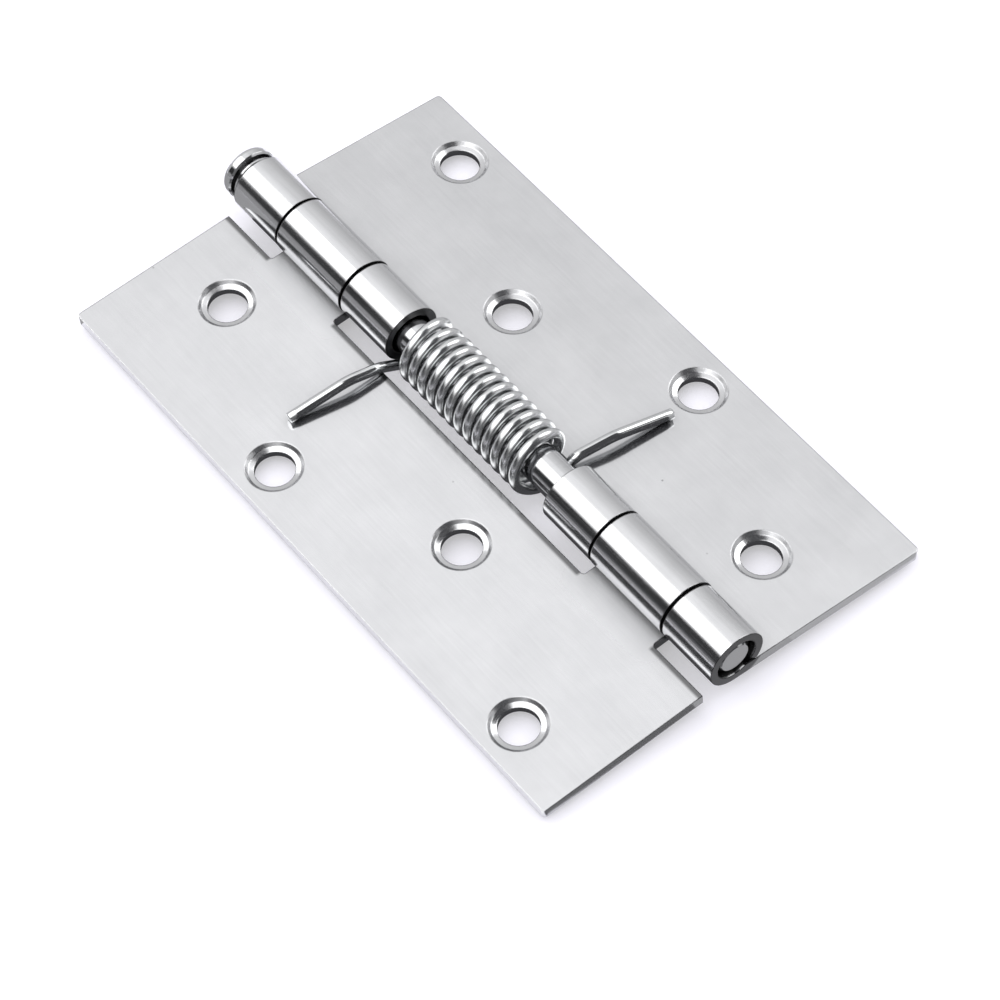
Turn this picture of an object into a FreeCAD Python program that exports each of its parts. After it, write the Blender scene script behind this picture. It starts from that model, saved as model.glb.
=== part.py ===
import FreeCAD, Part
import math
import os

os.makedirs("parts", exist_ok=True)
V = FreeCAD.Vector

# Leaves (mm)
LENGTH = 100.0
REACH = 31.0
SHEET = 1.6
DROOP = 3.0
CORNER_R = 0.6
NOTCH_R = 0.5
RIGHT_NOTCH = 4.5
LEFT_NOTCH = 5.6

# Barrel: knuckles counted from either end towards the middle
END_KNUCKLE = 9.55
LONG_KNUCKLE = 14.2
FAR_MID_KNUCKLE = 10.05
NEAR_MID_KNUCKLE = 9.4
KNUCKLE_GAP = 0.45
SEAM_GAP = 0.15
MOUTH = 0.45
MOUTH_DEPTH = 1.8

# Screw holes, staggered in two rows
HOLE_D = 5.5
SINK_D = 7.9
SINK_SHOULDER = 0.45
SINK_FALL = 0.2
ROW_PITCH = 25.5
OUTER_ROW = 5.5
INNER_ROW = 16.5

# Pin
PIN_D = 5.3
RUNNING = 0.05
PIN_RECESS = 0.3
PIN_CHAMFER = 0.55
HEAD_D = 7.9
HEAD_SIDE = 1.0
HEAD_EDGE = 0.9
HEAD_FALL = 50.0
NECK_D = 5.9
NECK_H = 1.5
COLLAR_D = 7.1
COLLAR_H = 0.3

# Torsion spring
WIRE = 1.5
COIL_D = 9.8
PITCH = 1.914
COIL_START = 1.1
START_RUN = 1.4
START_SWEEP = 240.0
END_RUN = 0.6
END_SWEEP = 120.0
BARE_PIN = 4.2
LEG_SKEW = 6.5
LEG_CLEAR = 0.1
KINK_U = 10.7
KINK_RISE = 2.0
TIP_U = 19.8
TIP_LIFT = 0.02
WIRE_SIDES = 10
TURN_STEPS = 14

PIN_R = PIN_D / 2
END = LENGTH / 2
EDGE_A = END - END_KNUCKLE
EDGE_B = EDGE_A - LONG_KNUCKLE
FAR_C = EDGE_B - FAR_MID_KNUCKLE
NEAR_C = EDGE_B - NEAR_MID_KNUCKLE
TURNS = int((FAR_C + NEAR_C - COIL_START - START_RUN - END_RUN - BARE_PIN) / PITCH)
HALF_GAP = KNUCKLE_GAP / 2
RIGHT_SPANS = [(EDGE_A + HALF_GAP, END), (FAR_C, EDGE_B - HALF_GAP),
               (-EDGE_B + HALF_GAP, -NEAR_C), (-END, -EDGE_A - HALF_GAP)]
LEFT_SPANS = [(EDGE_B + HALF_GAP, EDGE_A - HALF_GAP), (-EDGE_A + HALF_GAP, -EDGE_B - HALF_GAP)]
OUT_U = REACH - OUTER_ROW
IN_U = REACH - INNER_ROW
FAR_Y = 1.5 * ROW_PITCH
MID_Y = 0.5 * ROW_PITCH
RIGHT_HOLES = [(OUT_U, FAR_Y), (IN_U, MID_Y), (OUT_U, -MID_Y), (IN_U, -FAR_Y)]
LEFT_HOLES = [(IN_U, FAR_Y), (OUT_U, MID_Y), (IN_U, -MID_Y), (OUT_U, -FAR_Y)]
LEFT_BORE = PIN_R + RUNNING
AXIS_Z = (LEFT_BORE + SHEET) * math.cos(math.radians(DROOP)) + REACH * math.sin(math.radians(DROOP))
DOME_K = (HEAD_D / 2 - HEAD_EDGE) / math.cos(math.radians(HEAD_FALL))
DOME_R = DOME_K + HEAD_EDGE
DOME_Y = END + NECK_H + HEAD_SIDE - DOME_K * math.sin(math.radians(HEAD_FALL))
SHIFT = V(0, -(DOME_Y + DOME_R - END) / 2, AXIS_Z)


def polar(r, deg):
    a = math.radians(deg)
    return V(r * math.cos(a), 0, r * math.sin(a))


def knuckle(bore, reach, y0, y1):
    """Tab and roll as one strip of sheet: under the pin, round its far side and back down to the tab."""
    r_out = bore + SHEET
    free = -math.degrees(math.asin((bore - SEAM_GAP) / r_out))
    mid = (free + 270) / 2
    edges = [
        Part.makeLine(V(reach, 0, -r_out), V(0, 0, -r_out)),
        Part.Arc(polar(r_out, 270), polar(r_out, mid), polar(r_out, free)).toShape(),
        Part.makeLine(polar(r_out, free), polar(bore, free)),
        Part.Arc(polar(bore, free), polar(bore, mid), polar(bore, 270)).toShape(),
        Part.makeLine(V(0, 0, -bore), V(reach, 0, -bore)),
        Part.makeLine(V(reach, 0, -bore), V(reach, 0, -r_out)),
    ]
    strip = Part.Face(Part.Wire(edges)).extrude(V(0, y1 - y0, 0))
    strip.translate(V(0, y0, 0))
    return strip


def upright_edges(shape, u):
    """Edges square to the sheet that stand at one distance from the pin."""
    found = []
    for e in shape.Edges:
        a = e.Vertexes[0].Point
        b = e.Vertexes[-1].Point
        upright = abs(a.x - b.x) < 1e-6 and abs(a.y - b.y) < 1e-6 and abs(a.z - b.z) > 0.5 * SHEET
        if upright and abs(a.x - u) < 1e-4:
            found.append(e)
    return found


def screw_hole(bore, u, y):
    """Turned cutter for one hole: a steep shoulder, a shallow dish and the plain hole."""
    top = SHEET / 2
    step = SINK_D / 2 - SINK_SHOULDER
    corners = [(0, -1.5 * SHEET), (HOLE_D / 2, -1.5 * SHEET), (HOLE_D / 2, -SINK_SHOULDER - SINK_FALL),
               (step, -SINK_SHOULDER), (SINK_D / 2, 0), (SINK_D / 2, top), (0, top)]
    outline = Part.makePolygon([V(r, 0, h) for r, h in corners + corners[:1]])
    cutter = Part.Face(outline).revolve(V(0, 0, 0), V(0, 0, 1), 360)
    cutter.translate(V(u, y, -bore))
    return cutter


def leaf(bore, notch, spans, holes):
    """One leaf lying flat on the +X side of a pin axis at the origin."""
    r_out = bore + SHEET
    plate = Part.makeBox(REACH - notch, LENGTH, SHEET, V(notch, -END, -r_out))
    plate = plate.makeFillet(CORNER_R, upright_edges(plate, REACH))
    body = plate.fuse([knuckle(bore, notch, y0, y1) for y0, y1 in spans]).removeSplitter()
    corners = [e for e in upright_edges(body, notch) if abs(e.Vertexes[0].Y) < END - NOTCH_R]
    body = body.makeFillet(NOTCH_R, corners)
    return body.cut([screw_hole(bore, u, y) for u, y in holes])


def mouth(bore, y, sign):
    """Cone that eases a bore's edge where it opens towards sign."""
    return Part.makeCone(bore, bore + 2 * MOUTH, 2 * MOUTH_DEPTH, V(0, y - sign * MOUTH_DEPTH, 0), V(0, sign, 0))


def place(shape, turn):
    shape.rotate(V(0, 0, 0), V(0, 1, 0), turn)
    shape.translate(SHIFT)
    return shape


def pin():
    """Headed pin as one turned profile, pressed into the right leaf's knuckles."""
    y0 = -END + PIN_RECESS
    y1 = END
    ring = y1 + (NECK_H - COLLAR_H) / 2
    y2 = y1 + NECK_H
    y3 = y2 + HEAD_SIDE
    rim = HEAD_D / 2
    under = 0.25

    def edge(deg):
        a = math.radians(deg)
        return V(rim - HEAD_EDGE + HEAD_EDGE * math.cos(a), y3 + HEAD_EDGE * math.sin(a), 0)

    def dome(deg):
        a = math.radians(deg)
        return V(DOME_R * math.cos(a), DOME_Y + DOME_R * math.sin(a), 0)

    top = V(0, DOME_Y + DOME_R, 0)
    edges = [
        Part.makeLine(V(0, y0, 0), V(PIN_R - PIN_CHAMFER, y0, 0)),
        Part.makeLine(V(PIN_R - PIN_CHAMFER, y0, 0), V(PIN_R, y0 + PIN_CHAMFER, 0)),
        Part.makeLine(V(PIN_R, y0 + PIN_CHAMFER, 0), V(PIN_R, y1, 0)),
        Part.makeLine(V(PIN_R, y1, 0), V(NECK_D / 2, y1, 0)),
        Part.makeLine(V(NECK_D / 2, y1, 0), V(NECK_D / 2, ring, 0)),
        Part.makeLine(V(NECK_D / 2, ring, 0), V(COLLAR_D / 2, ring, 0)),
        Part.makeLine(V(COLLAR_D / 2, ring, 0), V(COLLAR_D / 2, ring + COLLAR_H, 0)),
        Part.makeLine(V(COLLAR_D / 2, ring + COLLAR_H, 0), V(NECK_D / 2, ring + COLLAR_H, 0)),
        Part.makeLine(V(NECK_D / 2, ring + COLLAR_H, 0), V(NECK_D / 2, y2, 0)),
        Part.makeLine(V(NECK_D / 2, y2, 0), V(rim - under, y2, 0)),
        Part.makeLine(V(rim - under, y2, 0), V(rim, y2 + under, 0)),
        Part.makeLine(V(rim, y2 + under, 0), V(rim, y3, 0)),
        Part.Arc(V(rim, y3, 0), edge(HEAD_FALL / 2), edge(HEAD_FALL)).toShape(),
        Part.Arc(edge(HEAD_FALL), dome((HEAD_FALL + 90) / 2), top).toShape(),
        Part.makeLine(top, V(0, y0, 0)),
    ]
    return Part.Face(Part.Wire(edges)).revolve(V(0, 0, 0), V(0, 1, 0), 360)


def ease(share):
    s = max(0.0, min(1.0, share))
    return s * s * (3 - 2 * s)


def rounded(points, cuts):
    """Points along a bent line, each inner corner eased over its cut length."""
    path = [points[0]]
    for i in range(1, len(points) - 1):
        back = points[i - 1] - points[i]
        ahead = points[i + 1] - points[i]
        a = points[i] + back.normalize() * cuts[i - 1]
        b = points[i] + ahead.normalize() * cuts[i - 1]
        path.append((path[-1] + a) * 0.5)
        for t in (0.0, 0.25, 0.5, 0.75, 1.0):
            path.append(a * (1 - t) ** 2 + points[i] * 2 * t * (1 - t) + b * t ** 2)
    path.append((path[-1] + points[-1]) * 0.5)
    path.append(points[-1])
    return path


def leg(bore, notch, y, drift):
    """A spring leg over a leaf on the +X side, from the coil outwards, and the angle where it leaves the coil."""
    mean = (COIL_D - WIRE) / 2
    corner = V(notch, 0, -bore)
    reach = min(0.999, (mean + WIRE / 2 + LEG_CLEAR) / corner.Length)
    off = math.degrees(math.atan2(corner.z, corner.x) - math.acos(reach))
    start = polar(mean, off)
    ahead = V(-math.sin(math.radians(off)), 0, math.cos(math.radians(off)))
    bend = start + ahead * ((notch + 0.4 - start.x) / ahead.x)
    kink = V(KINK_U, 0, -bore + KINK_RISE)
    tip = V(TIP_U, 0, -bore + WIRE / 2 + TIP_LIFT)
    line = rounded([start, bend, kink, tip], [0.9, 1.3])
    slope = math.tan(math.radians(LEG_SKEW))
    for p in line:
        p.y = y + drift * slope * (p.x - start.x)
    return line, off


def tube(path):
    """Wire of many flat sides along a path, sewn into one closed solid."""
    side = V(0, 1, 0)
    rings = []
    for i, p in enumerate(path):
        ahead = path[min(i + 1, len(path) - 1)] - path[max(i - 1, 0)]
        ahead.normalize()
        side = side - ahead * side.dot(ahead)
        side.normalize()
        other = ahead.cross(side)
        ring = []
        for k in range(WIRE_SIDES + 1):
            a = 2 * math.pi * (k % WIRE_SIDES) / WIRE_SIDES
            ring.append(p + (side * math.cos(a) + other * math.sin(a)) * (WIRE / 2))
        rings.append(Part.makePolygon(ring))
    skins = [Part.Face(rings[0]), Part.Face(rings[-1])]
    for i in range(0, len(rings) - 1, 40):
        skins.extend(Part.makeLoft(rings[i:i + 41], False, True).Faces)
    shell = Part.Shell(skins)
    shell.sewShape()
    return Part.Solid(shell)


def spring():
    """Close-wound right-hand coil round the pin, with a kinked leg bearing on each leaf."""
    y_left = FAR_C - COIL_START
    left, off_l = leg(LEFT_BORE, LEFT_NOTCH, y_left, 1)
    first = 180 - off_l + DROOP
    _, off_r = leg(PIN_R, RIGHT_NOTCH, 0, -1)
    last = 360 * TURNS + 360 + off_r - DROOP
    y_right = y_left - PITCH * (last - first) / 360 - START_RUN - END_RUN
    right, _ = leg(PIN_R, RIGHT_NOTCH, y_right, -1)
    turn = math.radians(DROOP)
    path = []
    for p in reversed(left):
        x = -p.x
        path.append(V(x * math.cos(turn) - p.z * math.sin(turn), p.y, x * math.sin(turn) + p.z * math.cos(turn)))
    steps = int((last - first) * TURN_STEPS / 360)
    mean = (COIL_D - WIRE) / 2
    for i in range(1, steps):
        a = first + (last - first) * i / steps
        p = polar(mean, a)
        p.y = y_left - PITCH * (a - first) / 360
        p.y -= START_RUN * ease((a - first) / START_SWEEP) + END_RUN * ease(1 - (last - a) / END_SWEEP)
        path.append(p)
    for p in right:
        path.append(V(p.x * math.cos(turn) + p.z * math.sin(turn), p.y, -p.x * math.sin(turn) + p.z * math.cos(turn)))
    return tube(path)


right_leaf = leaf(PIN_R, RIGHT_NOTCH, RIGHT_SPANS, RIGHT_HOLES).cut([mouth(PIN_R, y, -1) for y in (FAR_C, -END)])
left_leaf = leaf(LEFT_BORE, LEFT_NOTCH, LEFT_SPANS, LEFT_HOLES).mirror(V(0, 0, 0), V(1, 0, 0))

place(right_leaf, DROOP).exportStep("parts/right_leaf.step")
place(left_leaf, -DROOP).exportStep("parts/left_leaf.step")
place(pin(), 0).exportStep("parts/hinge_pin.step")
place(spring(), 0).exportStep("parts/torsion_spring.step")
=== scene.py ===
import math

import bpy
from mathutils import Matrix, Vector


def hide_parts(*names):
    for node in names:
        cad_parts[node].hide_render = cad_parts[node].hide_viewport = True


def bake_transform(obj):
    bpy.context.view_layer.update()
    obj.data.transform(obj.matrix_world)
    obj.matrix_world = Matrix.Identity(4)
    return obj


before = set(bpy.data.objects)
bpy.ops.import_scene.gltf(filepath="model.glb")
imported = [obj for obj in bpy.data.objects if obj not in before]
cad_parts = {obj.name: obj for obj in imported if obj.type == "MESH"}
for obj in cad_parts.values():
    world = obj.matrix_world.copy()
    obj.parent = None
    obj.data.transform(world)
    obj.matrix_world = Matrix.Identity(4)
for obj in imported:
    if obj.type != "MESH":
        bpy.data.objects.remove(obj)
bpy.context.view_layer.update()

MM = 0.001

# Sizes repeated from the part's source, in millimetres and degrees
DROOP = 3.0
PIN_R = 2.65
LEFT_BORE = 2.70
AXIS = Vector((0.0, -2.255, 5.9165))
RIGHT_NOTCH = 4.5
LEFT_NOTCH = 5.6
WIRE = 1.5
MEAN_R = 4.15
PITCH = 1.914
TURNS = 13
COIL_Y = 15.1
START_RUN = 1.4
START_SWEEP = 240.0
END_RUN = 0.6
END_SWEEP = 120.0
LEG_SLOPE = math.tan(math.radians(6.5))
LEG_CLEAR = 0.1
BEND_PAST = 0.4
BEND_CUT = 0.9
KINK_U = 10.7
KINK_RISE = 2.0
KINK_CUT = 1.3
TIP_U = 19.8
TIP_LIFT = 0.02

# Round wire: the trim keeps it inside the solid's box
WIRE_TRIM = 0.004
WIRE_SIDES = 20
TURN_STEPS = 48
CURVE_STEPS = 12
LEAD_STEPS = 5
TAIL_STEPS = 6
SHORTEST_STEP = 0.02
TIP_ROUND = 0.12
TIP_SHARE = 0.86

# Places on the leaves, in millimetres from the pin's axis and middle
BARREL_EDGE = (4.6, 5.2)
POCKET_R = (3.02, 3.1)
NEAR_POCKET = (-47.9, -47.5)
COIL_POCKET_START = (16.0, 16.1)
COIL_POCKET_END = (18.2, 18.4)
TAB_START = (25.8, 26.2)
TAB_END = (40.2, 40.6)
FOOT_START = (22.5, 26.5)
FOOT_END = (40.0, 44.0)
FOOT_OUT = (5.4, 10.5)
FOOT_IN = (2.8, 3.4)
FOOT_TOP = (-2.2, -1.6)
NOTCH_LINE_OUT = (5.85, 6.4)
NOTCH_LINE_IN = (5.0, 5.3)
INNER_EDGE = (6.4, 6.8)
LEFT_RIM = (-30.4, -30.2)
COIL_SIDE = (5.2, 6.2)
PIN_END = -49.0
PIN_END_FADE = 0.2
NOWHERE = -1000.0

# Finishes: lengths in metres, colours and roughness as the shader takes them
LEAF_TONES = ((0.65, 0.653, 0.665), (0.76, 0.763, 0.775))
PIN_TONES = ((0.66, 0.665, 0.68), (0.74, 0.745, 0.755))
WIRE_TONES = ((0.66, 0.67, 0.675), (0.78, 0.79, 0.795))
# Painted dark reflection: colour of the rolls' end faces
END_FACE_SHADE_COLOUR = (0.17, 0.17, 0.175, 1)
# Painted shade: near-black colour of the bore mouths
POCKET_SHADE_COLOUR = (0.03, 0.03, 0.03, 1)
SPECK_COLOUR = (0.16, 0.16, 0.165, 1)
PIN_END_COLOUR = (0.72, 0.72, 0.73, 1)
SPECK_SHARE = 0.6
# Shares of painted shade at the left notch line and along the leaves' inner and outer edges
NOTCH_SHADE_SHARE = 0.72
INNER_EDGE_SHADE = 0.8
OUTER_EDGE_SHADE = 0.3
PLATE_ROUGH = (0.11, 0.15)
GRAIN_ROUGH = 0.03
BARREL_ROUGH = (0.10, 0.20)
PIN_ROUGH = (0.07, 0.14)
WIRE_ROUGH = (0.09, 0.13)
CUT_ROUGH = 0.16
SUNK_ROUGH = 0.26
END_ROUGH = 0.34
FOOT_ROUGH = 0.5
PIN_END_ROUGH = 0.3
MIDDLE = (0.3, 0.7)
FACING_END = (0.85, 0.95)
FACING_UP = (0.4, 0.7)
OFF_LEVEL = (0.80, 0.97)
OFF_UPRIGHT = (0.3, 0.45)
EDGE_TURN = (0.9995, 0.965)
OPEN_SPAN = (0.25, 0.95)
LEAF_BEVEL = 0.00022
ROUND_BEVEL = 0.0001
RELIEF = 0.00004
# Reach of the painted shade in hollows
LEAF_SHADE_REACH = 0.0045
ROUND_SHADE_REACH = 0.0009

# Stage and camera, in metres
FLOOR_Z = -0.00125
BOARD_Z = -0.00118
FLOOR_HALF = 8.0
FLOOR_COLOUR = (0.60, 0.59, 0.66, 1.0)
FLOOR_GLOW = 0.40
SKY_STRENGTH = 1.12
SKY_BLUE = 1.01
SKY = [(0.0, 0.47), (0.15, 0.52), (0.49, 0.645), (0.62, 0.735),
       (0.71, 0.765), (0.75, 0.805), (0.80, 0.93), (0.84, 0.99)]
LAMP_DISTANCE = 1.0
CONE_ACROSS = 0.8758
CONE_ALONG = 0.483
SENSOR = 36.0
LENS = 138.58
CLIP_START = 0.01
CAMERA_RIGHT = Vector((0.7835325, -0.6209841, -0.0213436))
CAMERA_UP = Vector((0.5152512, 0.6301581, 0.5808761))
CAMERA_AHEAD = Vector((0.3472650, 0.4661326, -0.8137121))
CAMERA_FROM_AXIS = Vector((-178.558, -241.778, 400.495))


# Node helpers

def new_material(name):
    mat = bpy.data.materials.new(name)
    mat.use_nodes = True
    mat.node_tree.nodes.clear()
    return mat, mat.node_tree


def feed(tree, socket, value):
    """Link a socket to an input, or set the input to a constant."""
    if isinstance(value, bpy.types.NodeSocket):
        tree.links.new(value, socket)
    else:
        socket.default_value = value


def node(tree, kind, inputs=None, **settings):
    n = tree.nodes.new(kind)
    for key, value in settings.items():
        setattr(n, key, value)
    for key, value in (inputs or {}).items():
        feed(tree, n.inputs[key], value)
    return n


def math_node(tree, op, a, b=None, clamp=False):
    inputs = {0: a} if b is None else {0: a, 1: b}
    return node(tree, "ShaderNodeMath", inputs, operation=op, use_clamp=clamp).outputs[0]


def times(tree, first, *others):
    product = first
    for factor in others:
        product = math_node(tree, "MULTIPLY", product, factor)
    return product


def weighted(tree, a, weight_a, b, weight_b):
    return math_node(tree, "ADD", times(tree, a, weight_a), times(tree, b, weight_b))


def absolute(tree, value):
    return math_node(tree, "ABSOLUTE", value)


def larger(tree, a, b):
    return math_node(tree, "MAXIMUM", a, b)


def rest_of(tree, share):
    return math_node(tree, "SUBTRACT", 1.0, share)


def remap(tree, value, span, low, high, smooth=False):
    """Value over a span, mapped to low at its start and high at its end."""
    inputs = {"Value": value, "From Min": span[0], "From Max": span[1], "To Min": low, "To Max": high}
    kind = "SMOOTHSTEP" if smooth else "LINEAR"
    n = node(tree, "ShaderNodeMapRange", inputs, clamp=True, interpolation_type=kind)
    return n.outputs[0]


def place(tree, value, span_mm, low, high, smooth=False):
    """The same, for a length in metres and a span in millimetres."""
    return remap(tree, value, (span_mm[0] * MM, span_mm[1] * MM), low, high, smooth)


def rises(tree, value, span_mm, smooth=False):
    return place(tree, value, span_mm, 0.0, 1.0, smooth)


def falls(tree, value, span_mm, smooth=False):
    return place(tree, value, span_mm, 1.0, 0.0, smooth)


def between(tree, value, start_mm, end_mm, smooth=False):
    """One from the first span to the second and nought elsewhere."""
    return times(tree, rises(tree, value, start_mm, smooth), falls(tree, value, end_mm, smooth))


def blend_value(tree, share, a, b):
    return node(tree, "ShaderNodeMix", {0: share, 2: a, 3: b}, data_type="FLOAT").outputs[0]


def blend_colour(tree, share, a, b):
    n = node(tree, "ShaderNodeMix", {0: share, 6: a, 7: b}, data_type="RGBA", blend_type="MIX")
    return n.outputs[2]


def vector_math(tree, op, a, b):
    return node(tree, "ShaderNodeVectorMath", {0: a, 1: b}, operation=op)


def scaled(tree, vector, amount):
    inputs = {0: vector, "Scale": amount}
    return node(tree, "ShaderNodeVectorMath", inputs, operation="SCALE").outputs[0]


def stretch(tree, vector, scale):
    return vector_math(tree, "MULTIPLY", vector, scale).outputs[0]


def split(tree, vector):
    return node(tree, "ShaderNodeSeparateXYZ", {0: vector}).outputs


def noise(tree, vector, scale, detail=3.0, rough=0.5):
    inputs = {"Vector": vector, "Scale": scale, "Detail": detail, "Roughness": rough}
    return node(tree, "ShaderNodeTexNoise", inputs).outputs["Fac"]


def ramp(tree, value, stops):
    n = node(tree, "ShaderNodeValToRGB", {"Fac": value})
    elements = n.color_ramp.elements
    while len(elements) < len(stops):
        elements.new(0.5)
    for element, (pos, colour) in zip(elements, stops):
        element.position = pos
        element.color = (*colour, 1.0)
    return n.outputs["Color"]


def surface(tree, shader):
    node(tree, "ShaderNodeOutputMaterial", {"Surface": shader.outputs[0]})


def hollow_shade(tree, colour, reach, low):
    """Painted shade: colour darkened where ambient occlusion finds narrow hollows."""
    hollow = node(tree, "ShaderNodeAmbientOcclusion", {"Distance": reach}, samples=6)
    return scaled(tree, colour, remap(tree, hollow.outputs["AO"], OPEN_SPAN, low, 1.0))


def metal(tree, colour, rough, height, strength, edge_normal):
    """Bare metal with fine relief, as the material's surface."""
    relief = {"Strength": strength, "Distance": RELIEF, "Height": height, "Normal": edge_normal}
    bump = node(tree, "ShaderNodeBump", relief)
    look = {"Metallic": 1.0, "Base Color": colour, "Roughness": rough, "Normal": bump.outputs[0]}
    surface(tree, node(tree, "ShaderNodeBsdfPrincipled", look))


# Finishes

def leaf_steel():
    """Satin sheet, polished where it is rolled, duller where it is cut, sunk or bent, with painted
    shade on the rolls' end faces, in the bore mouths, along the edges and in hollows.
    """
    mat, t = new_material("leaf_steel_finish")
    coord = node(t, "ShaderNodeTexCoord")
    pos = coord.outputs["Object"]
    normal = split(t, coord.outputs["Normal"])
    at = split(t, pos)
    left = times(t, at["X"], -1.0)
    along = math_node(t, "SUBTRACT", at["Y"], AXIS.y * MM)
    from_middle = absolute(t, along)
    from_axis = vector_math(t, "SUBTRACT", pos, (0, 0, AXIS.z * MM)).outputs[0]
    across = stretch(t, from_axis, (1, 0, 1))
    radius = node(t, "ShaderNodeVectorMath", {0: across}, operation="LENGTH").outputs["Value"]
    barrel = falls(t, radius, BARREL_EDGE, True)
    plate = rest_of(t, barrel)
    upright = absolute(t, normal["Z"])
    facing_up = remap(t, normal["Z"], FACING_UP, 0.0, 1.0)
    facing_end = remap(t, absolute(t, normal["Y"]), FACING_END, 0.0, 1.0)

    # Grain of the sheet and a few specks
    cloud = noise(t, pos, 110, 4, 0.6)
    grain = noise(t, pos, 2600, 2, 0.6)
    rolled = noise(t, stretch(t, pos, (2600, 110, 2600)), 1, 3, 0.6)
    streak = noise(t, stretch(t, pos, (5200, 70, 5200)), 1, 3, 0.65)
    cell = node(t, "ShaderNodeTexVoronoi", {"Vector": pos, "Scale": 330.0})
    pick = node(t, "ShaderNodeSeparateColor", {0: cell.outputs["Color"]}).outputs[0]
    chosen = remap(t, pick, (0.90, 0.91), 0.0, 1.0)
    speck = times(t, remap(t, cell.outputs["Distance"], (0.03, 0.07), 1.0, 0.0), chosen)

    # Places with a finish of their own; the end faces and bore mouths also carry painted shade
    cut = remap(t, upright, OFF_LEVEL, 1.0, 0.0)
    sunk = times(t, cut, remap(t, upright, OFF_UPRIGHT, 0.0, 1.0))
    end_face = times(t, facing_end, barrel)
    near_pocket = falls(t, along, NEAR_POCKET)
    coil_pocket = between(t, along, COIL_POCKET_START, COIL_POCKET_END)
    # Painted shade: the bore mouths at the near end and beside the coil are painted near black
    pocket_shade = times(t, falls(t, radius, POCKET_R), larger(t, near_pocket, coil_pocket))
    tab = between(t, from_middle, TAB_START, TAB_END)
    foot = times(t, between(t, from_middle, FOOT_START, FOOT_END, True),
                 falls(t, left, FOOT_OUT, True), rises(t, left, FOOT_IN),
                 falls(t, split(t, from_axis)["Z"], FOOT_TOP))

    # Painted shade: dark edges, where the rounded normal leaves the face's own, and a painted dark line
    # at the left notch
    bevel = node(t, "ShaderNodeBevel", {"Radius": LEAF_BEVEL}, samples=6).outputs[0]
    face = node(t, "ShaderNodeNewGeometry").outputs["Normal"]
    turned = vector_math(t, "DOT_PRODUCT", bevel, face).outputs["Value"]
    edge_shade_share = place(t, absolute(t, at["X"]), INNER_EDGE, INNER_EDGE_SHADE, OUTER_EDGE_SHADE)
    edge_shade = times(t, remap(t, turned, EDGE_TURN, 0.0, 1.0), edge_shade_share, rises(t, at["X"], LEFT_RIM))
    notch_shade_line = times(t, place(t, left, NOTCH_LINE_OUT, NOTCH_SHADE_SHARE, 0.0, True),
                       rises(t, left, NOTCH_LINE_IN), facing_up, rest_of(t, tab))

    tone = weighted(t, cloud, 0.7, rolled, 0.3)
    colour = ramp(t, tone, [(0.25, LEAF_TONES[0]), (0.75, LEAF_TONES[1])])
    # Painted dark reflection on the rolls' end faces
    colour = blend_colour(t, end_face, colour, END_FACE_SHADE_COLOUR)
    # Painted shade in the bore mouths
    colour = blend_colour(t, pocket_shade, colour, POCKET_SHADE_COLOUR)
    colour = blend_colour(t, times(t, speck, SPECK_SHARE), colour, SPECK_COLOUR)
    # Painted shade along the edges and the notch line
    colour = scaled(t, colour, rest_of(t, larger(t, edge_shade, notch_shade_line)))
    # Painted shade in hollows, such as beside the barrel's foot
    colour = hollow_shade(t, colour, LEAF_SHADE_REACH, 0.6)

    grain_rough = times(t, grain, GRAIN_ROUGH)
    plate_rough = math_node(t, "ADD", remap(t, cloud, MIDDLE, *PLATE_ROUGH), grain_rough)
    rough = blend_value(t, barrel, plate_rough, remap(t, streak, MIDDLE, *BARREL_ROUGH))
    rough = blend_value(t, times(t, cut, plate), rough, CUT_ROUGH)
    rough = blend_value(t, times(t, sunk, plate), rough, SUNK_ROUGH)
    rough = blend_value(t, larger(t, end_face, pocket_shade), rough, END_ROUGH)
    rough = blend_value(t, foot, rough, FOOT_ROUGH)

    height = blend_value(t, barrel, weighted(t, grain, 0.5, rolled, 0.5), streak)
    metal(t, colour, rough, height, 0.03, bevel)
    return mat


def round_steel(name, tones, rough_span, marks, strength, low_hollow_shade,
                dull_below=NOWHERE, coil_dulling=1.0):
    """Bright turned or drawn steel: fine marks, a dull cut end and a duller coil, with painted shade in
    hollows.
    """
    mat, t = new_material(name)
    coord = node(t, "ShaderNodeTexCoord")
    pos = coord.outputs["Object"]
    at = split(t, pos)
    normal = split(t, coord.outputs["Normal"])
    facing_end = remap(t, absolute(t, normal["Y"]), FACING_END, 0.0, 1.0)
    cut_end = times(t, facing_end, falls(t, at["Y"], (dull_below, dull_below + PIN_END_FADE)))
    cloud = noise(t, pos, 420, 3, 0.6)
    mark = noise(t, stretch(t, pos, marks), 1, 3, 0.6)

    colour = ramp(t, weighted(t, cloud, 0.6, mark, 0.4), list(zip(MIDDLE, tones)))
    colour = blend_colour(t, cut_end, colour, PIN_END_COLOUR)
    # Painted shade in hollows: the pin's groove, and between the coil's turns
    colour = hollow_shade(t, colour, ROUND_SHADE_REACH, low_hollow_shade)

    rough = remap(t, weighted(t, cloud, 0.5, mark, 0.5), MIDDLE, *rough_span)
    rough = blend_value(t, cut_end, rough, PIN_END_ROUGH)
    rough = times(t, rough, place(t, absolute(t, at["X"]), COIL_SIDE, coil_dulling, 1.0))

    bevel = node(t, "ShaderNodeBevel", {"Radius": ROUND_BEVEL}, samples=4).outputs[0]
    metal(t, colour, rough, mark, strength, bevel)
    return mat


# Spring: the source's own line, as a round wire

def polar(r, deg):
    a = math.radians(deg)
    return Vector((r * math.cos(a), 0.0, r * math.sin(a)))


def ease(share):
    s = max(0.0, min(1.0, share))
    return s * s * (3 - 2 * s)


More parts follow.
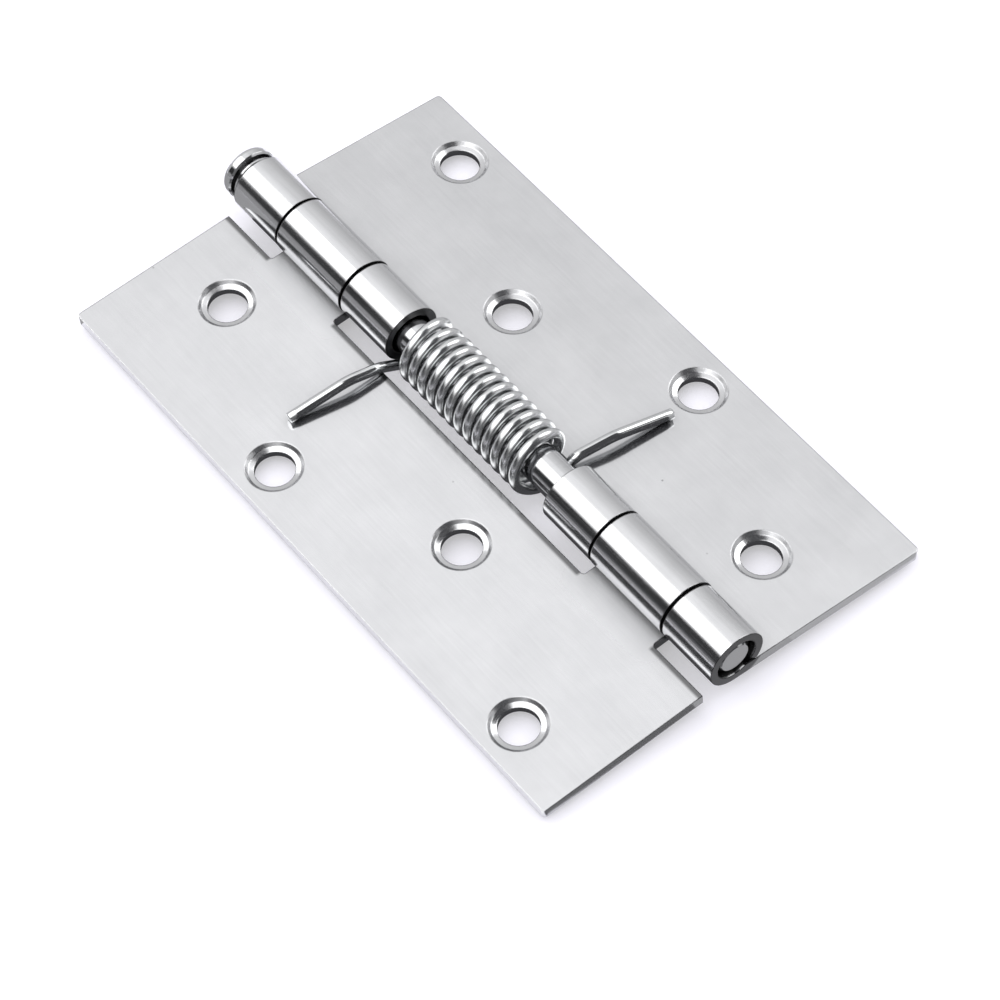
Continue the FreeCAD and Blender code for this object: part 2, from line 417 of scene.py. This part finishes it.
def rounded(points, cuts):
    """Line through the points, with each inner corner cut back and curved."""
    path = [points[0]]
    for before, corner, after, cut in zip(points, points[1:], points[2:], cuts):
        a = corner + (before - corner).normalized() * cut
        b = corner + (after - corner).normalized() * cut
        here = path[-1]
        path.extend(here.lerp(a, k / LEAD_STEPS) for k in range(1, LEAD_STEPS))
        for k in range(CURVE_STEPS + 1):
            s = k / CURVE_STEPS
            path.append(a * (1 - s) ** 2 + corner * 2 * s * (1 - s) + b * s ** 2)
    last = path[-1]
    path.extend(last.lerp(points[-1], k / TAIL_STEPS) for k in range(1, TAIL_STEPS + 1))
    return path


def leg(bore, notch, y, drift):
    """Leg over a flat leaf on the +X side, and the angle at which it leaves the coil."""
    corner = Vector((notch, 0.0, -bore))
    reach = min(0.999, (MEAN_R + WIRE / 2 + LEG_CLEAR) / corner.length)
    off = math.degrees(math.atan2(corner.z, corner.x) - math.acos(reach))
    start = polar(MEAN_R, off)
    ahead = Vector((-math.sin(math.radians(off)), 0.0, math.cos(math.radians(off))))
    bend = start + ahead * ((notch + BEND_PAST - start.x) / ahead.x)
    kink = Vector((KINK_U, 0.0, -bore + KINK_RISE))
    tip = Vector((TIP_U, 0.0, -bore + WIRE / 2 + TIP_LIFT))
    line = rounded([start, bend, kink, tip], [BEND_CUT, KINK_CUT])
    for p in line:
        p.y = y + drift * LEG_SLOPE * (p.x - start.x)
    return line, off


def spring_path():
    """Points of the whole wire from the left tip to the right tip, and the coil's end along the pin."""
    left, off_l = leg(LEFT_BORE, LEFT_NOTCH, COIL_Y, 1)
    first = 180 - off_l + DROOP
    _, off_r = leg(PIN_R, RIGHT_NOTCH, 0, -1)
    last = 360 * TURNS + 360 + off_r - DROOP
    y_right = COIL_Y - PITCH * (last - first) / 360 - START_RUN - END_RUN
    right, _ = leg(PIN_R, RIGHT_NOTCH, y_right, -1)
    c, s = math.cos(math.radians(DROOP)), math.sin(math.radians(DROOP))
    path = [Vector((-p.x * c - p.z * s, p.y, -p.x * s + p.z * c)) for p in reversed(left)]
    steps = int((last - first) * TURN_STEPS / 360)
    for i in range(1, steps):
        a = first + (last - first) * i / steps
        p = polar(MEAN_R, a)
        p.y = COIL_Y - PITCH * (a - first) / 360
        p.y -= START_RUN * ease((a - first) / START_SWEEP) + END_RUN * ease(1 - (last - a) / END_SWEEP)
        path.append(p)
    path.extend(Vector((p.x * c + p.z * s, p.y, -p.x * s + p.z * c)) for p in right)
    clean = [path[0]]
    for p in path[1:]:
        if (p - clean[-1]).length > SHORTEST_STEP:
            clean.append(p)
    return clean, y_right


def wire_mesh(name, path, radius):
    """Closed round wire along a path, with slightly rounded tips."""
    frames = []
    side = Vector((0.0, 1.0, 0.0))
    for i, p in enumerate(path):
        ahead = (path[min(i + 1, len(path) - 1)] - path[max(i - 1, 0)]).normalized()
        side = (side - ahead * side.dot(ahead)).normalized()
        frames.append((p, ahead, side, ahead.cross(side)))
    p, ahead, a, b = frames[0]
    rings = [(p, a, b, radius * TIP_SHARE), (p + ahead * TIP_ROUND, a, b, radius)]
    rings.extend((p, a, b, radius) for p, _, a, b in frames[1:-1])
    p, ahead, a, b = frames[-1]
    rings.extend([(p - ahead * TIP_ROUND, a, b, radius), (p, a, b, radius * TIP_SHARE)])
    verts, faces = [], []
    for p, a, b, r in rings:
        for k in range(WIRE_SIDES):
            w = 2 * math.pi * k / WIRE_SIDES
            verts.append((p + (a * math.cos(w) + b * math.sin(w)) * r + AXIS) * MM)
    for i in range(len(rings) - 1):
        here, there = i * WIRE_SIDES, (i + 1) * WIRE_SIDES
        for k in range(WIRE_SIDES):
            m = (k + 1) % WIRE_SIDES
            faces.append((here + k, here + m, there + m, there + k))
    faces.append(tuple(reversed(range(WIRE_SIDES))))
    faces.append(tuple((len(rings) - 1) * WIRE_SIDES + k for k in range(WIRE_SIDES)))
    mesh = bpy.data.meshes.new(name)
    mesh.from_pydata([v[:] for v in verts], [], faces)
    for poly in mesh.polygons:
        poly.use_smooth = len(poly.vertices) == 4
    mesh.update()
    obj = bpy.data.objects.new(name, mesh)
    bpy.context.scene.collection.objects.link(obj)
    return obj


path, y_right = spring_path()
spring = wire_mesh("spring_wire_round", path, WIRE / 2 - WIRE_TRIM)
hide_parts("torsion_spring")
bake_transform(spring)

finish_leaf = leaf_steel()
finish_pin = round_steel("pin_steel_finish", PIN_TONES, PIN_ROUGH, (900, 5200, 900), 0.05, 0.12,
                         dull_below=AXIS.y + PIN_END)
finish_wire = round_steel("spring_wire_finish", WIRE_TONES, WIRE_ROUGH, (1800, 1800, 1800), 0.06, 0.75,
                          coil_dulling=2.0)
for name, mat in (("right_leaf", finish_leaf), ("left_leaf", finish_leaf), ("hinge_pin", finish_pin)):
    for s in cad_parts[name].material_slots:
        s.material = mat
spring.data.materials.append(finish_wire)


# Stage: pale floor, graded sky, two soft lamps, and cards that show only in reflections

def floor():
    h = FLOOR_HALF
    mesh = bpy.data.meshes.new("floor")
    mesh.from_pydata([(-h, -h, 0), (h, -h, 0), (h, h, 0), (-h, h, 0)], [], [(0, 1, 2, 3)])
    obj = bpy.data.objects.new("floor", mesh)
    obj.location.z = FLOOR_Z
    bpy.context.scene.collection.objects.link(obj)
    mat, t = new_material("floor_finish")
    ray = node(t, "ShaderNodeLightPath").outputs
    seen = math_node(t, "ADD", ray["Is Camera Ray"], ray["Is Glossy Ray"])
    seen = math_node(t, "ADD", seen, ray["Is Transmission Ray"], clamp=True)
    body = node(t, "ShaderNodeBsdfDiffuse", {"Color": FLOOR_COLOUR})
    white = {"Color": (1.0, 1.0, 1.0, 1.0), "Strength": times(t, seen, FLOOR_GLOW)}
    glow = node(t, "ShaderNodeEmission", white)
    surface(t, node(t, "ShaderNodeAddShader", {0: body.outputs[0], 1: glow.outputs[0]}))
    mesh.materials.append(mat)


def studio_sky():
    world = bpy.data.worlds.new("studio")
    world.use_nodes = True
    t = world.node_tree
    t.nodes.clear()
    up = split(t, node(t, "ShaderNodeTexCoord").outputs["Generated"])["Z"]
    sky = ramp(t, up, [(z, (v, v, v * SKY_BLUE)) for z, v in SKY])
    back = node(t, "ShaderNodeBackground", {"Color": sky, "Strength": SKY_STRENGTH})
    node(t, "ShaderNodeOutputWorld", {"Surface": back.outputs[0]})
    bpy.context.scene.world = world


def oriented(x, y, z, at):
    """Matrix with the given axes and place."""
    m = Matrix((x, y, z)).transposed().to_4x4()
    m.translation = at
    return m


def cone(deg):
    """Point that the barrel mirrors to the camera at one angle round the pin."""
    a = math.radians(deg)
    return Vector((CONE_ACROSS * math.cos(a), CONE_ALONG, CONE_ACROSS * math.sin(a))) * LAMP_DISTANCE


def soft_light(name, a, b, along, power, slide=0.0):
    """Area lamp that fills the barrel's reflection from angle a to angle b."""
    p, q = (cone(d) + Vector((0, slide, 0)) for d in (a, b))
    centre = (p + q) / 2
    lamp = bpy.data.lights.new(name, "AREA")
    lamp.shape = "RECTANGLE"
    lamp.size = (p - q).length
    lamp.size_y = along
    lamp.energy = power
    obj = bpy.data.objects.new(name, lamp)
    across = (p - q).normalized()
    normal = across.cross(Vector((0, 1, 0))).normalized()
    if normal.dot(centre) < 0:
        normal = -normal
    obj.matrix_world = oriented(across, normal.cross(across).normalized(), normal, centre)
    obj.visible_camera = False
    bpy.context.scene.collection.objects.link(obj)


def card(name, centre, across, up, tone, blue):
    """Flat glowing card, given by its centre and two half sides."""
    c, a, u = Vector(centre), Vector(across), Vector(up)
    mesh = bpy.data.meshes.new(name)
    corners = [(c - a - u)[:], (c + a - u)[:], (c + a + u)[:], (c - a + u)[:]]
    mesh.from_pydata(corners, [], [(0, 1, 2, 3)])
    obj = bpy.data.objects.new(name, mesh)
    bpy.context.scene.collection.objects.link(obj)
    mat, t = new_material(name + "_finish")
    surface(t, node(t, "ShaderNodeEmission", {"Color": (tone, tone, blue, 1.0), "Strength": 1.0}))
    mesh.materials.append(mat)
    obj.visible_camera = False
    obj.visible_shadow = False
    obj.visible_diffuse = False
    obj.visible_transmission = False


floor()
studio_sky()
soft_light("key", 91, 140, 1.6, 4.8)
soft_light("side", 18, 58, 0.55, 2.0, -0.55)
for name, centre, across, up, tone, blue in (
    ("flag_left", (-0.8, 0.52, 0.33), (0, 0.27, 0), (0, 0, 0.22), 0.035, 0.037),
    ("flag_left_near", (-0.8, -0.05, 0.25), (0, 0.3, 0), (0, 0, 0.25), 0.08, 0.085),
    ("flag_corner", (-0.45, -0.36, 0.15), (0.35, 0, 0), (0, 0, 0.15), 0.16, 0.165),
    ("flag_low_near", (-0.8, 0.345, 0.055), (0, 0.095, 0), (0, 0, 0.055), 0.09, 0.095),
    ("flag_low_far", (-0.8, 0.615, 0.055), (0, 0.175, 0), (0, 0, 0.055), 0.34, 0.345),
    ("flag_top", (0.5, -0.09, 1.5), (0.45, 0, 0), (0, 0.27, 0), 0.07, 0.075),
    ("strip_outer", (-0.03499, -0.00128, BOARD_Z), (0.00335, 0, 0), (0, 0.054, 0), 1.35, 1.36),
    ("flag_front_low", (0.07, -0.36, 0.17), (0.17, 0, 0), (0, 0, 0.17), 0.07, 0.075),
    ("flag_front_high", (0.4, -0.36, 0.92), (0.55, 0, 0), (0, 0, 0.58), 0.07, 0.075),
    ("board_front", (0, -0.21572, BOARD_Z), (0.9, 0, 0), (0, 0.15, 0), 0.07, 0.075),
    ("strip_left", (-0.40246, -0.0594, BOARD_Z), (0.397, 0, 0), (0, 0.00632, 0), 0.16, 0.165),
    ("strip_end", (0.00254, -0.0594, BOARD_Z), (0.008, 0, 0), (0, 0.00632, 0), 0.42, 0.43),
    ("strip_right", (0.40554, -0.0594, BOARD_Z), (0.395, 0, 0), (0, 0.00632, 0), 0.52, 0.53),
    ("board_far", (-0.026, 0.0715, BOARD_Z), (0.022, 0, 0), (0, 0.0235, 0), 0.40, 0.41),
    ("board_under", (0, -0.002, BOARD_Z), (0.029, 0, 0), (0, 0.05, 0), 0.07, 0.075),
    ("board_left", (-0.45, 0.4, BOARD_Z), (0.4, 0, 0), (0, 0.44, 0), 0.33, 0.34),
    ("board_right", (0.445, 0.4, BOARD_Z), (0.405, 0, 0), (0, 0.44, 0), 0.58, 0.59),
):
    card(name, centre, across, up, tone, blue)

# Camera at the photograph's angle
cam = bpy.data.cameras.new("camera")
cam.sensor_width = SENSOR
cam.lens = LENS
cam.clip_start = CLIP_START
cam_obj = bpy.data.objects.new("camera", cam)
cam_obj.matrix_world = oriented(CAMERA_RIGHT, CAMERA_UP, -CAMERA_AHEAD, (CAMERA_FROM_AXIS + AXIS) * MM)
bpy.context.scene.collection.objects.link(cam_obj)
bpy.context.scene.camera = cam_obj
bpy.context.scene.view_settings.view_transform = "Standard"
